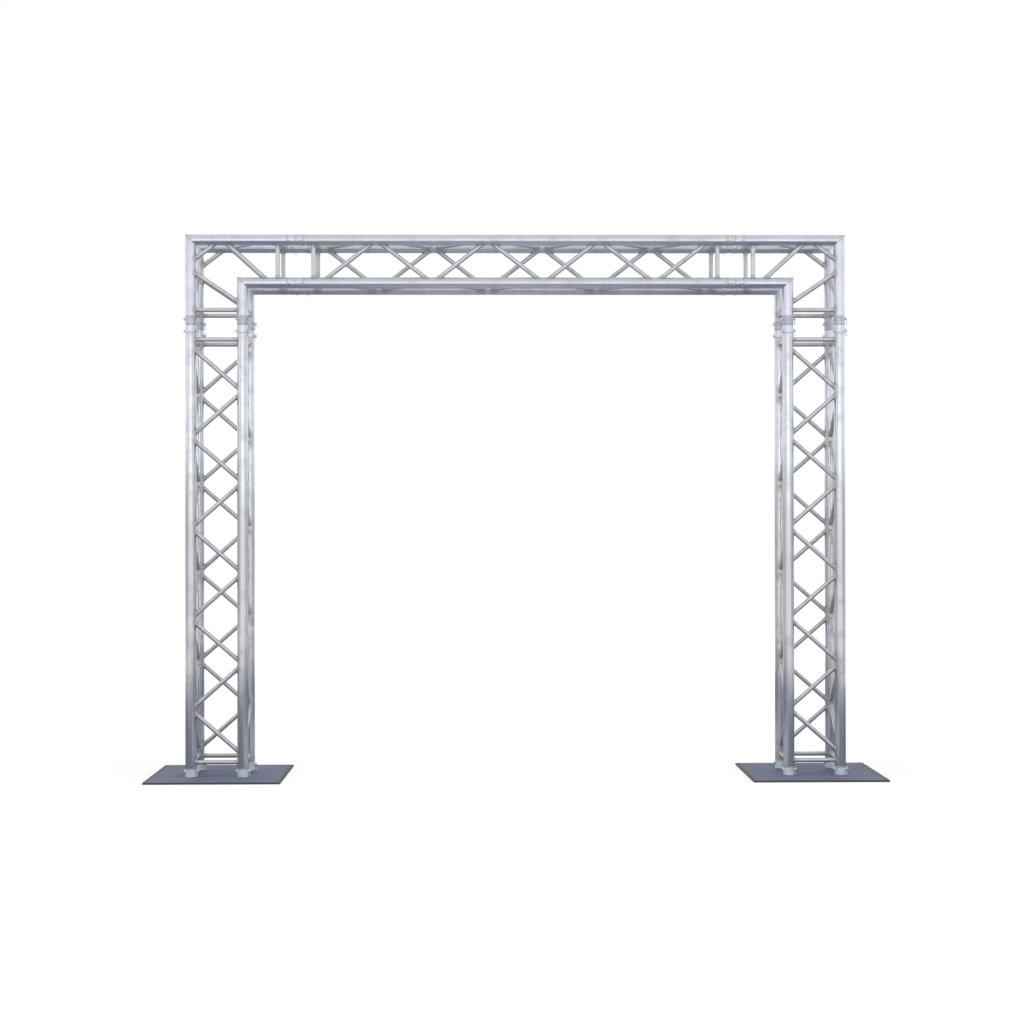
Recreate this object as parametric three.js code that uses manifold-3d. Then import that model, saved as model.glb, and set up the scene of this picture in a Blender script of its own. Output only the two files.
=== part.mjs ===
import * as THREE from "three";
import { mergeVertices } from "three/addons/utils/BufferGeometryUtils.js";
import Module from "manifold-3d";

// A free-standing box truss arch: two upright sections on base plates, two mitred corner blocks
// and a beam. The sections meet end to end, and in each joint four conical couplers sit in the
// chords' conical receivers, locked by tapered cross pins.
// Millimetres. X runs along the beam, Y away from the front, Z up from the floor.

// Lengths of the sections
const columnLength = 2050;
const beamLength = 2000;
const cornerRun = 500;
const cornerDrop = 410;

// Section, between chord axes
const columnSpacing = 235;
const depthSpacing = 235;
const beamSpacing = 195;

// Tubes
const chordRadius = 25;
const chordWall = 3;
const braceRadius = 10;

// Places of the braces: insets run from a section's end to where the brace's axis meets the chord's
const columnDiagonals = 9;
const columnNodeInset = 98;
const columnBarInset = 67;
const beamDiagonals = 7;
const beamNodeInset = 114;
const beamBarInset = 81;
const cornerNodeInset = 90;
const cornerShortBraceDrop = 101;
const cornerShortBraceRun = 134;
const cornerLongBraceDrop = 137;
const cornerLongBraceRun = 146;

// Conical couplers and the receivers that hold them
const couplerMidRadius = 19.6;
const couplerEndRadius = 16.4;
const couplerHalfLength = 46;
const receiverDepth = 52;
const receiverStep = 4;

// Tapered cross pins
const pinInset = 27;
const pinHeadRadius = 6.6;
const pinTailRadius = 5.2;
const pinHeadReach = 7;
const pinTailReach = 11;

// Base plates and the countersunk bolts that hold the half couplers
const plateSize = 610;
const plateThickness = 8;
const plateCornerRadius = 8;
const boltShankRadius = 6;
const boltHeadRadius = 11.5;
const boltHeadHeight = 5.5;
const boltGrip = 22;
const boltRecess = 0.5;

// Clearances
const seatGap = 0.3;
const cutOverrun = 1;

// How far a point may lie from a straight edge and still be dropped
const edgeTolerance = 0.01;

// Facets round each kind of piece
const chordSides = 16;
const couplerSides = 8;
const braceSides = 6;
const pinSides = 6;
const boltSides = 8;
const plateCornerSteps = 2;

// Directions. The heads of the pins face left at the columns' joints, and forward at the beam's.
const leftward = new THREE.Vector3(-1, 0, 0);
const forward = new THREE.Vector3(0, -1, 0);
const upward = new THREE.Vector3(0, 0, 1);

// Places that follow from the sizes above
const columnX = beamLength / 2 + seatGap + cornerRun - chordRadius - columnSpacing / 2;
const columnFoot = plateThickness + seatGap;
const columnTop = columnFoot + columnLength;
const cornerFoot = columnTop + seatGap;
const beamAxisZ = cornerFoot + cornerDrop - chordRadius - beamSpacing / 2;

const wasm = await Module();
wasm.setup();

const aluminium = new THREE.MeshStandardMaterial({ color: 0xc8ccd8, roughness: 0.38, metalness: 1 });
const castAluminium = new THREE.MeshStandardMaterial({ color: 0xb9bfcc, roughness: 0.5, metalness: 1 });
const platePaint = new THREE.MeshStandardMaterial({ color: 0x6b7189, roughness: 0.55, metalness: 0.3 });
const steel = new THREE.MeshStandardMaterial({ color: 0x8d8f96, roughness: 0.4, metalness: 1 });

// Closed geometry to a solid that can be joined and cut
function solidOf(geometry) {
  const bare = geometry.clone();
  bare.deleteAttribute("normal");
  bare.deleteAttribute("uv");
  const merged = mergeVertices(bare);
  return new wasm.Manifold(
    new wasm.Mesh({
      numProp: 3,
      vertProperties: merged.attributes.position.array,
      triVerts: new Uint32Array(merged.index.array),
    }),
  );
}

// A solid back to a named mesh, without the points that cuts leave along straight edges
function meshOf(name, solid, material) {
  const { vertProperties, triVerts } = solid.asOriginal().simplify(edgeTolerance).getMesh();
  const geometry = new THREE.BufferGeometry();
  geometry.setAttribute("position", new THREE.BufferAttribute(vertProperties, 3));
  geometry.setIndex(new THREE.BufferAttribute(triVerts, 1));
  geometry.computeVertexNormals();
  const mesh = new THREE.Mesh(geometry, material);
  mesh.name = name;
  return mesh;
}

const joined = (solids) => solids.reduce((sum, solid) => sum.add(solid));

// The direction square to a bar in the plane of the face that the bar belongs to
function squareInFace(start, end) {
  const way = new THREE.Vector3().subVectors(end, start).normalize();
  const depth = new THREE.Vector3(0, 1, 0);
  const alongDepth = Math.abs(way.dot(depth));
  if (alongDepth === 1) return upward;
  return (alongDepth === 0 ? depth.cross(way) : depth.addScaledVector(way, -way.y)).normalize();
}

// A round bar or cone from one point to another, with a corner of its facets turned the given way
function barBetween(start, end, startRadius, endRadius, sides, corner = squareInFace(start, end)) {
  const way = new THREE.Vector3().subVectors(end, start);
  const geometry = new THREE.CylinderGeometry(endRadius, startRadius, way.length(), sides);
  way.normalize();
  const flat = new THREE.Vector3().crossVectors(way, corner);
  geometry.applyMatrix4(new THREE.Matrix4().makeBasis(flat, way, corner));
  geometry.translate(...new THREE.Vector3().addVectors(start, end).multiplyScalar(1 / 2));
  return solidOf(geometry);
}

// A solid turned about the Z axis from its half profile, with a flat facet towards X
function turned(points, sides) {
  const profile = points.map(([radius, height]) => new THREE.Vector2(radius, height));
  const geometry = new THREE.LatheGeometry(profile, sides, Math.PI / 2 + Math.PI / sides);
  return solidOf(geometry.rotateX(Math.PI / 2));
}

// A solid of round section swept along an axis of two points, or of three with a mitred bend.
// Its rings are pairs of the distance along the axis and the radius there.
function swept(axis, rings, sides, turn) {
  const legs = axis.slice(1).map((point, i) => new THREE.Vector3().subVectors(point, axis[i]));
  const bend = legs[0].length();
  const last = legs.length - 1;
  const depth = new THREE.Vector3(0, 1, 0);
  const ways = legs.map((leg) => leg.clone().normalize());
  const normals = ways.map((way) => new THREE.Vector3().crossVectors(way, depth));
  const mitre = new THREE.Vector3().addVectors(normals[0], normals[last]);
  mitre.divideScalar(1 + normals[0].dot(normals[last]));
  const centreAt = (along, leg) => axis[leg].clone().addScaledVector(ways[leg], along - leg * bend);
  const points = [];
  for (const [along, radius] of rings) {
    const leg = along > bend ? last : 0;
    const inward = along === bend ? mitre : normals[leg];
    for (let side = 0; side < sides; side++) {
      const angle = turn + (side / sides) * 2 * Math.PI;
      const point = centreAt(along, leg).addScaledVector(inward, radius * Math.cos(angle));
      points.push(point.addScaledVector(depth, radius * Math.sin(angle)));
    }
  }
  const firstCentre = points.push(centreAt(rings[0][0], 0)) - 1;
  const lastCentre = points.push(centreAt(rings[rings.length - 1][0], last)) - 1;
  const index = [];
  for (let side = 0; side < sides; side++) {
    const beside = (side + 1) % sides;
    for (let ring = 0; ring < rings.length - 1; ring++) {
      const here = ring * sides;
      const next = here + sides;
      index.push(here + side, next + side, here + beside);
      index.push(here + beside, next + side, next + beside);
    }
    const end = (rings.length - 1) * sides;
    index.push(firstCentre, side, beside);
    index.push(lastCentre, end + beside, end + side);
  }
  const geometry = new THREE.BufferGeometry().setFromPoints(points);
  geometry.setIndex(index);
  return solidOf(geometry);
}

// A chord along its axis. Each end is a receiver: a thick sleeve with a conical mouth, which steps
// out to the thinner tube behind it.
function chordTube(axis) {
  const bend = axis[0].distanceTo(axis[1]);
  const run = axis.length > 2 ? bend + axis[1].distanceTo(axis[2]) : bend;
  const atBend = (radius) => (axis.length > 2 ? [[bend, radius]] : []);
  const taper = (couplerMidRadius - couplerEndRadius) / couplerHalfLength;
  const mouth = couplerMidRadius + seatGap;
  const throat = mouth - taper * receiverDepth;
  const bore = chordRadius - chordWall;
  const outside = [[0, chordRadius], ...atBend(chordRadius), [run, chordRadius]];
  const inside = [
    [-cutOverrun, mouth],
    [0, mouth],
    [receiverDepth, throat],
    [receiverDepth + receiverStep, bore],
    ...atBend(bore),
    [run - receiverDepth - receiverStep, bore],
    [run - receiverDepth, throat],
    [run, mouth],
    [run + cutOverrun, mouth],
  ];
  const flatTurn = Math.PI / couplerSides;
  return swept(axis, outside, chordSides, 0).subtract(swept(axis, inside, couplerSides, flatTurn));
}

// A tapered pin through a chord at a point of its axis, its head towards the given side
function taperedPin({ point, headWay, chordWay }, clearance, overrun) {
  const head = point.clone().addScaledVector(headWay, chordRadius + pinHeadReach + overrun);
  const tail = point.clone().addScaledVector(headWay, -(chordRadius + pinTailReach + overrun));
  return barBetween(head, tail, pinHeadRadius + clearance, pinTailRadius + clearance, pinSides, chordWay);
}

const pinHole = (pin) => taperedPin(pin, seatGap, cutOverrun);

// The round core of a chord, used to shape the ends of the braces that meet it
const chordCore = (axis, radius) =>
  joined(axis.slice(1).map((point, leg) => barBetween(axis[leg], point, radius, radius, chordSides)));

// A chord with the braces that are welded to it. Each brace is cut to a saddle against the far
// chord, and a brace that both ends of are on this chord is welded at both.
function weldedChord(axis, braces, farAxes, pins) {
  const tube = pins.reduce((sum, pin) => sum.subtract(pinHole(pin)), chordTube(axis));
  if (!braces.length) return tube;
  const bars = joined(
    braces.map(([start, end]) => barBetween(start, end, braceRadius, braceRadius, braceSides)),
  );
  const shaped = farAxes.reduce(
    (sum, farAxis) => sum.subtract(chordCore(farAxis, chordRadius + seatGap)),
    bars.subtract(chordCore(axis, chordRadius - chordWall / 2)),
  );
  return tube.add(shaped);
}

// A conical coupler with the pins that lock it, centred on the joint
function coupler(headWay) {
  const body = turned(
    [
      [0, -couplerHalfLength],
      [couplerEndRadius, -couplerHalfLength],
      [couplerMidRadius, 0],
      [couplerEndRadius, couplerHalfLength],
      [0, couplerHalfLength],
    ],
    couplerSides,
  );
  const pinAt = pinInset + seatGap / 2;
  const points = [-pinAt, pinAt].map((z) => new THREE.Vector3(0, 0, z));
  return joined([body, ...points.map((point) => taperedPin({ point, headWay, chordWay: upward }, 0, 0))]);
}

// A half coupler with its pin, standing on the base plate and drilled from below for its bolt
function halfCoupler(headWay) {
  const body = turned(
    [
      [0, 0],
      [couplerMidRadius, 0],
      [couplerEndRadius, couplerHalfLength],
      [0, couplerHalfLength],
    ],
    couplerSides,
  );
  const drillRadius = boltShankRadius + seatGap;
  const drillDepth = boltRecess + boltGrip + seatGap - columnFoot;
  const drill = turned(
    [
      [0, -cutOverrun],
      [drillRadius, -cutOverrun],
      [drillRadius, drillDepth],
      [0, drillDepth],
    ],
    boltSides,
  );
  const point = new THREE.Vector3(0, 0, pinInset);
  return body.subtract(drill).add(taperedPin({ point, headWay, chordWay: upward }, 0, 0));
}

// A countersunk bolt standing on its head
const countersunkBolt = () =>
  turned(
    [
      [0, 0],
      [boltHeadRadius, 0],
      [boltShankRadius, boltHeadHeight],
      [boltShankRadius, boltGrip],
      [0, boltGrip],
    ],
    boltSides,
  );

// The countersunk hole for that bolt, through the plate, with the recess below the bolt's head
function boltHole() {
  const headRadius = boltHeadRadius + seatGap;
  const shankRadius = boltShankRadius + seatGap;
  return turned(
    [
      [0, -cutOverrun],
      [headRadius, -cutOverrun],
      [headRadius, boltRecess],
      [shankRadius, boltRecess + boltHeadHeight],
      [shankRadius, plateThickness + cutOverrun],
      [0, plateThickness + cutOverrun],
    ],
    boltSides,
  );
}

// The four chord places of a section, anticlockwise from the front left
const sectionCorners = (spacing) => [
  [-spacing / 2, -depthSpacing / 2],
  [spacing / 2, -depthSpacing / 2],
  [spacing / 2, depthSpacing / 2],
  [-spacing / 2, depthSpacing / 2],
];

// A straight section along Z. Every face has an end bar at each end and a zigzag between them,
// and each chord carries the braces of the face that follows it round the section.
// The nodes nearest the lower end are on the second and fourth chords.
function straightSection({ names, length, spacing, diagonals, nodeInset, barInset, headWay }) {
  const section = new THREE.Group();
  const corners = sectionCorners(spacing);
  const pitch = (length - 2 * nodeInset) / diagonals;
  const at = (corner, z) => new THREE.Vector3(corners[corner][0], corners[corner][1], z);
  names.forEach((name, corner) => {
    const next = (corner + 1) % corners.length;
    const bars = [barInset, length - barInset].map((z) => [at(corner, z), at(next, z)]);
    const zigzag = Array.from({ length: diagonals }, (_, step) => {
      const startsHere = (step + corner) % 2 === 1;
      const from = nodeInset + step * pitch;
      const [near, far] = startsHere ? [from, from + pitch] : [from + pitch, from];
      return [at(corner, near), at(next, far)];
    });
    const axis = [at(corner, 0), at(corner, length)];
    const farAxis = [at(next, 0), at(next, length)];
    const ends = [pinInset, length - pinInset];
    const pins = ends.map((z) => ({ point: at(corner, z), headWay, chordWay: upward }));
    section.add(meshOf(name, weldedChord(axis, [...bars, ...zigzag], [farAxis], pins), aluminium));
  });
  return section;
}

// Couplers in the four chords of a section, at one of its joints
function couplerSet(names, spacing, z, headWay) {
  const set = new THREE.Group();
  const solid = coupler(headWay);
  sectionCorners(spacing).forEach(([x, y], corner) => {
    const mesh = meshOf(names[corner], solid, castAluminium);
    mesh.position.set(x, y, z);
    set.add(mesh);
  });
  return set;
}

// A corner block. Its origin is on the column's axis at the joint with the column, and outward is
// 1 where the arch's outside lies towards +X, or -1 towards -X.
function cornerBlock(name, outward) {
  const block = new THREE.Group();
  const outerX = (outward * columnSpacing) / 2;
  const innerX = -outerX;
  const endX = outerX + outward * (chordRadius - cornerRun);
  const topZ = cornerDrop - chordRadius;
  const innerZ = topZ - beamSpacing;
  const front = -depthSpacing / 2;
  const rear = -front;
  const at = (x, y, z) => new THREE.Vector3(x, y, z);
  const outerAxis = (y) => [at(outerX, y, 0), at(outerX, y, topZ), at(endX, y, topZ)];
  const innerAxis = (y) => [at(innerX, y, 0), at(innerX, y, innerZ), at(endX, y, innerZ)];
  const pinsOf = ([foot, , end]) => [
    { point: foot.clone().add(at(0, 0, pinInset)), headWay: leftward, chordWay: upward },
    { point: end.clone().add(at(outward * pinInset, 0, 0)), headWay: forward, chordWay: leftward },
  ];
  const barX = endX + outward * beamBarInset;
  const nodeX = endX + outward * beamNodeInset;
  const sideBraces = (y) => [
    [at(outerX, y, columnBarInset), at(innerX, y, columnBarInset)],
    [at(barX, y, topZ), at(barX, y, innerZ)],
    [at(outerX, y, topZ - cornerLongBraceDrop), at(innerX, y, cornerNodeInset)],
    [at(outerX, y, topZ - cornerShortBraceDrop), at(outerX - outward * cornerShortBraceRun, y, topZ)],
    [at(outerX - outward * cornerLongBraceRun, y, topZ), at(nodeX, y, innerZ)],
  ];
  const topBraces = [
    [at(barX, front, topZ), at(barX, rear, topZ)],
    [at(nodeX, front, topZ), at(outerX - outward * cornerLongBraceRun, rear, topZ)],
  ];
  const outerBraces = [
    [at(outerX, rear, columnBarInset), at(outerX, front, columnBarInset)],
    [at(outerX, rear, topZ - cornerLongBraceDrop), at(outerX, front, cornerNodeInset)],
  ];
  const innerBar = [at(innerX, front, columnBarInset), at(innerX, rear, columnBarInset)];
  const underBar = [at(barX, rear, innerZ), at(barX, front, innerZ)];
  const frontBraces = [...sideBraces(front), ...topBraces];
  const rearBraces = [...sideBraces(rear), ...outerBraces];
  const chords = [
    ["front_outer", outerAxis(front), frontBraces, [innerAxis(front), outerAxis(rear)]],
    ["rear_outer", outerAxis(rear), rearBraces, [innerAxis(rear), outerAxis(front)]],
    ["front_inner", innerAxis(front), [innerBar], [innerAxis(rear)]],
    ["rear_inner", innerAxis(rear), [underBar], [innerAxis(front)]],
  ];
  for (const [place, axis, braces, farAxes] of chords) {
    const solid = weldedChord(axis, braces, farAxes, pinsOf(axis));
    block.add(meshOf(`${name}_${place}_chord`, solid, aluminium));
  }
  return block;
}

// A base plate with its four half couplers and their bolts, centred under a column
function baseAssembly(name, places) {
  const base = new THREE.Group();
  const half = plateSize / 2;
  const flat = half - plateCornerRadius;
  const outline = new THREE.Shape();
  outline.absarc(flat, flat, plateCornerRadius, 0, Math.PI / 2);
  outline.absarc(-flat, flat, plateCornerRadius, Math.PI / 2, Math.PI);
  outline.absarc(-flat, -flat, plateCornerRadius, Math.PI, (3 * Math.PI) / 2);
  outline.absarc(flat, -flat, plateCornerRadius, (3 * Math.PI) / 2, 2 * Math.PI);
  const slab = new THREE.ExtrudeGeometry(outline, {
    depth: plateThickness,
    bevelEnabled: false,
    curveSegments: plateCornerSteps,
  });
  const hole = boltHole();
  const drilled = sectionCorners(columnSpacing).reduce(
    (sum, [x, y]) => sum.subtract(hole.translate([x, y, 0])),
    solidOf(slab),
  );
  base.add(meshOf(`${name}_base_plate`, drilled, platePaint));
  const coneSolid = halfCoupler(leftward);
  const boltSolid = countersunkBolt();
  sectionCorners(columnSpacing).forEach(([x, y], corner) => {
    const cone = meshOf(`${name}_base_coupler_${places[corner]}`, coneSolid, castAluminium);
    cone.position.set(x, y, columnFoot);
    const bolt = meshOf(`${name}_base_bolt_${places[corner]}`, boltSolid, steel);
    bolt.position.set(x, y, boltRecess);
    base.add(cone, bolt);
  });
  return base;
}

const arch = new THREE.Group();
const sides = [
  { name: "left", outward: -1, places: ["front_outer", "front_inner", "rear_inner", "rear_outer"] },
  { name: "right", outward: 1, places: ["front_inner", "front_outer", "rear_outer", "rear_inner"] },
];

for (const { name, outward, places } of sides) {
  const upright = new THREE.Group();
  upright.position.set(outward * columnX, 0, 0);
  const column = straightSection({
    names: places.map((place) => `${name}_column_${place}_chord`),
    length: columnLength,
    spacing: columnSpacing,
    diagonals: columnDiagonals,
    nodeInset: columnNodeInset,
    barInset: columnBarInset,
    headWay: leftward,
  });
  column.position.z = columnFoot;
  const topCouplers = couplerSet(
    places.map((place) => `${name}_column_coupler_${place}`),
    columnSpacing,
    columnTop + seatGap / 2,
    leftward,
  );
  const corner = cornerBlock(`${name}_corner`, outward);
  corner.position.z = cornerFoot;
  upright.add(baseAssembly(name, places), column, topCouplers, corner);
  arch.add(upright);
}

// The beam is built upright and laid down: its length turns to +X and its first two chords'
// side to the front, with the first and fourth chords on top.
const beamPlaces = ["front_top", "front_bottom", "rear_bottom", "rear_top"];
const beam = new THREE.Group();
beam.rotation.y = Math.PI / 2;
beam.position.set(-beamLength / 2, 0, beamAxisZ);
beam.add(
  straightSection({
    names: beamPlaces.map((place) => `beam_${place}_chord`),
    length: beamLength,
    spacing: beamSpacing,
    diagonals: beamDiagonals,
    nodeInset: beamNodeInset,
    barInset: beamBarInset,
    headWay: forward,
  }),
);
for (const [side, z] of [
  ["left", -seatGap / 2],
  ["right", beamLength + seatGap / 2],
]) {
  const names = beamPlaces.map((place) => `${side}_beam_coupler_${place}`);
  beam.add(couplerSet(names, beamSpacing, z, forward));
}
arch.add(beam);

export default arch;
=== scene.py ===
import math
import random

import bmesh
import bpy
from mathutils import Matrix, Vector


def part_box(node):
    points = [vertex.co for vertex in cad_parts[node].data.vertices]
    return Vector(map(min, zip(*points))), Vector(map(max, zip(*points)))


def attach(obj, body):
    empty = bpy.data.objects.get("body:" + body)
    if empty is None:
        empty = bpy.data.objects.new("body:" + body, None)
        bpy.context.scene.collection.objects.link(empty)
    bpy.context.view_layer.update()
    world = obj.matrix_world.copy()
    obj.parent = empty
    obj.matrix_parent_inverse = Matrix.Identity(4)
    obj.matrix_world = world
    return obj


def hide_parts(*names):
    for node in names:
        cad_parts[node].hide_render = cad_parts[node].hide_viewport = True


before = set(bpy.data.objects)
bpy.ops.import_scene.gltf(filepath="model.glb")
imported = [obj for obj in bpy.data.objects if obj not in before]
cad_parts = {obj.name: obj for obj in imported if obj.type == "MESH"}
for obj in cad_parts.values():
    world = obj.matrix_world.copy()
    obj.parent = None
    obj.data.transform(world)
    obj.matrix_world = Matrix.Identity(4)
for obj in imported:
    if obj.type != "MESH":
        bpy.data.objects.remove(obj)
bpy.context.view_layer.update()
random.seed(7)

# Box truss arch: a finer piece stands for every CAD node, in the node's own place.
# Places are in metres, and sizes are written in millimetres.
mm = 0.001
depthWay, upWay = Vector((0, 1, 0)), Vector((0, 0, 1))
alongBeam = Vector((1, 0, 0))
outwardOf = {"left": -1, "right": 1}
columnPlaces = {
    "left": ("front_outer", "front_inner", "rear_inner", "rear_outer"),
    "right": ("front_inner", "front_outer", "rear_outer", "rear_inner"),
}
beamPlaces = ("front_top", "front_bottom", "rear_bottom", "rear_top")
print("frame loaded:", len(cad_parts), "nodes")


def toLinear(hexColour):
    # sRGB hex to the linear values that nodes take
    values = [int(hexColour[i : i + 2], 16) / 255 for i in (1, 3, 5)]
    return [v / 12.92 if v <= 0.04045 else ((v + 0.055) / 1.055) ** 2.4 for v in values] + [1]


def linkInputs(tree, node, links):
    # a source is an output, or a node whose first output is meant
    for name, source in links.items():
        output = source.outputs[0] if isinstance(source, bpy.types.Node) else source
        tree.links.new(output, node.inputs[name])


def addNode(tree, kind, settings=None, links=None):
    # settings are the node's properties, its inputs' values, or the stops of its colour ramp
    node = tree.nodes.new(kind)
    for name, value in (settings or {}).items():
        if name == "stops":
            ramp = node.color_ramp
            while len(ramp.elements) < len(value):
                ramp.elements.new(1)
            for element, (position, colour) in zip(ramp.elements, value):
                element.position = position
                element.color = colour
        elif isinstance(name, str) and hasattr(node, name):
            setattr(node, name, value)
        else:
            node.inputs[name].default_value = value
    linkInputs(tree, node, links or {})
    return node


# A colour mix shares its sockets' names with the number mix, so they go by their places
mixFirst, mixSecond, mixResult = 6, 7, 2


def newMaterial(name, metallic):
    material = bpy.data.materials.new(name)
    material.use_nodes = True
    surface = material.node_tree.nodes["Principled BSDF"]
    surface.inputs["Metallic"].default_value = metallic
    return material, material.node_tree, surface


def mottledColour(tree, place, mottle, colours):
    # two colours in patches of a real size: the second begins where the noise passes the low value
    noise = addNode(
        tree, "ShaderNodeTexNoise",
        {"Scale": 1 / mottle["size"], "Detail": mottle["detail"]}, {"Vector": place},
    )
    share = addNode(
        tree, "ShaderNodeMapRange",
        {"From Min": mottle["low"], "From Max": mottle["high"], "To Max": mottle["most"]},
        {"Value": noise},
    )
    first, second = [toLinear(colour) for colour in colours]
    colour = addNode(
        tree, "ShaderNodeMix", {"data_type": "RGBA", mixFirst: first, mixSecond: second}, {0: share}
    )
    return colour, noise


def finishSurface(tree, surface, colour, dullness, roughness, relief=None, depth=0):
    # roughness goes from its first value to its second as the dullness goes from 0 to 1
    matt = addNode(
        tree, "ShaderNodeMapRange", {"To Min": roughness[0], "To Max": roughness[1]}, {"Value": dullness}
    )
    linkInputs(tree, surface, {"Base Color": colour.outputs[mixResult], "Roughness": matt})
    if relief:
        bump = addNode(tree, "ShaderNodeBump", {"Strength": 1, "Distance": depth}, {"Height": relief})
        linkInputs(tree, surface, {"Normal": bump})
    return matt


def extrudedAluminium(name, metal, dull, roughness):
    # Tube of aluminium 6082 in mill finish, as the extrusion die leaves it: fine lines along the
    # tube, satin gloss, dull patches and scuffs from handling, and a matt grey film beside each weld.
    # Real die lines are finer than these, which are drawn so that they show.
    look = {
        "film": "#bbbab8",
        "filmRoughness": 0.12,  # on top of the metal's own
        "lineSize": (1.8 * mm, 1.8 * mm, 500 * mm),  # twice across the tube, then along it
        "lineDepth": 0.03 * mm,
        "lineDulling": 0.35,
        "patchSize": 70 * mm,
        "scuffSize": (16 * mm, 16 * mm, 1.2 * mm),
        "scuffDulling": 0.6,
    }
    material, tree, surface = newMaterial(name, 1)
    place = addNode(tree, "ShaderNodeAttribute", {"attribute_name": "tubePlace"}).outputs["Vector"]
    film = addNode(tree, "ShaderNodeAttribute", {"attribute_name": "weldFilm"}).outputs["Fac"]
    lineSpace = addNode(
        tree, "ShaderNodeVectorMath", {"operation": "DIVIDE", 1: look["lineSize"]}, {0: place}
    )
    lines = addNode(
        tree, "ShaderNodeTexNoise", {"Scale": 1, "Detail": 3, "Roughness": 0.65}, {"Vector": lineSpace}
    )
    patches = addNode(
        tree, "ShaderNodeTexNoise",
        {"Scale": 1 / look["patchSize"], "Detail": 4, "Roughness": 0.6}, {"Vector": place},
    )
    scuffSpace = addNode(
        tree, "ShaderNodeVectorMath", {"operation": "DIVIDE", 1: look["scuffSize"]}, {0: place}
    )
    scuffs = addNode(tree, "ShaderNodeTexNoise", {"Scale": 1, "Detail": 2}, {"Vector": scuffSpace})
    patched = addNode(
        tree, "ShaderNodeMapRange", {"From Min": 0.42, "From Max": 0.68}, {"Value": patches}
    )
    scuffed = addNode(
        tree, "ShaderNodeMapRange",
        {"From Min": 0.62, "From Max": 0.72, "To Max": look["scuffDulling"]}, {"Value": scuffs},
    )
    lined = addNode(
        tree, "ShaderNodeMapRange",
        {"From Min": 0.3, "From Max": 0.7, "To Max": look["lineDulling"]}, {"Value": lines},
    )
    handled = addNode(tree, "ShaderNodeMath", {"operation": "MAXIMUM"}, {0: patched, 1: scuffed})
    dulled = addNode(
        tree, "ShaderNodeMath", {"operation": "MAXIMUM", "use_clamp": True}, {0: handled, 1: lined}
    )
    bare = addNode(
        tree, "ShaderNodeMix",
        {"data_type": "RGBA", mixFirst: toLinear(metal), mixSecond: toLinear(dull)}, {0: dulled},
    )
    colour = addNode(
        tree, "ShaderNodeMix", {"data_type": "RGBA", mixSecond: toLinear(look["film"])},
        {0: film, mixFirst: bare.outputs[mixResult]},
    )
    bareMatt = finishSurface(tree, surface, colour, dulled, roughness, lines, look["lineDepth"])
    matt = addNode(
        tree, "ShaderNodeMath",
        {"operation": "MULTIPLY_ADD", 1: look["filmRoughness"]}, {0: film, 2: bareMatt},
    )
    linkInputs(tree, surface, {"Roughness": matt})
    return material


def turnedAluminium(name, metal, dull, roughness):
    # Receivers and couplers, turned on a lathe: fine grooves round the piece, and dull wear.
    # Real grooves are finer than these, which are drawn so that they show.
    look = {
        "grooveSize": (250 * mm, 250 * mm, 0.9 * mm),
        "grooveDepth": 0.02 * mm,
        "wear": {"size": 22.22 * mm, "detail": 4, "low": 0.4, "high": 0.7, "most": 1},
    }
    material, tree, surface = newMaterial(name, 1)
    place = addNode(tree, "ShaderNodeAttribute", {"attribute_name": "tubePlace"}).outputs["Vector"]
    grooveSpace = addNode(
        tree, "ShaderNodeVectorMath", {"operation": "DIVIDE", 1: look["grooveSize"]}, {0: place}
    )
    grooves = addNode(tree, "ShaderNodeTexNoise", {"Scale": 1, "Detail": 2}, {"Vector": grooveSpace})
    colour, wear = mottledColour(tree, place, look["wear"], (metal, dull))
    finishSurface(tree, surface, colour, wear, roughness, grooves, look["grooveDepth"])
    return material


def weldedAluminium():
    # Bead of a hand weld: bright frozen ripples with grains of grey oxide
    look = {
        "metalAndOxide": ("#d0d2d7", "#a3a2a3"),
        "roughness": (0.32, 0.6),
        "grain": {"size": 2.5 * mm, "detail": 5, "low": 0.45, "high": 0.75, "most": 0.8},
        "grainDepth": 0.08 * mm,
    }
    material, tree, surface = newMaterial("weldedAluminium", 1)
    place = addNode(tree, "ShaderNodeTexCoord").outputs["Object"]
    colour, grains = mottledColour(tree, place, look["grain"], look["metalAndOxide"])
    finishSurface(tree, surface, colour, grains, look["roughness"], grains, look["grainDepth"])
    return material


def zincPlatedSteel():
    # Pins, clips and bolts, blue-passivated zinc: a cool sheen with cloudy grey patches
    look = {
        "zincAndCloud": ("#f1f3f6", "#dcdfe5"),
        "roughness": (0.38, 0.6),
        "cloud": {"size": 6 * mm, "detail": 4, "low": 0.4, "high": 0.7, "most": 1},
    }
    material, tree, surface = newMaterial("zincPlatedSteel", 1)
    place = addNode(tree, "ShaderNodeTexCoord").outputs["Object"]
    colour, clouds = mottledColour(tree, place, look["cloud"], look["zincAndCloud"])
    finishSurface(tree, surface, colour, clouds, look["roughness"])
    return material


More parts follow.
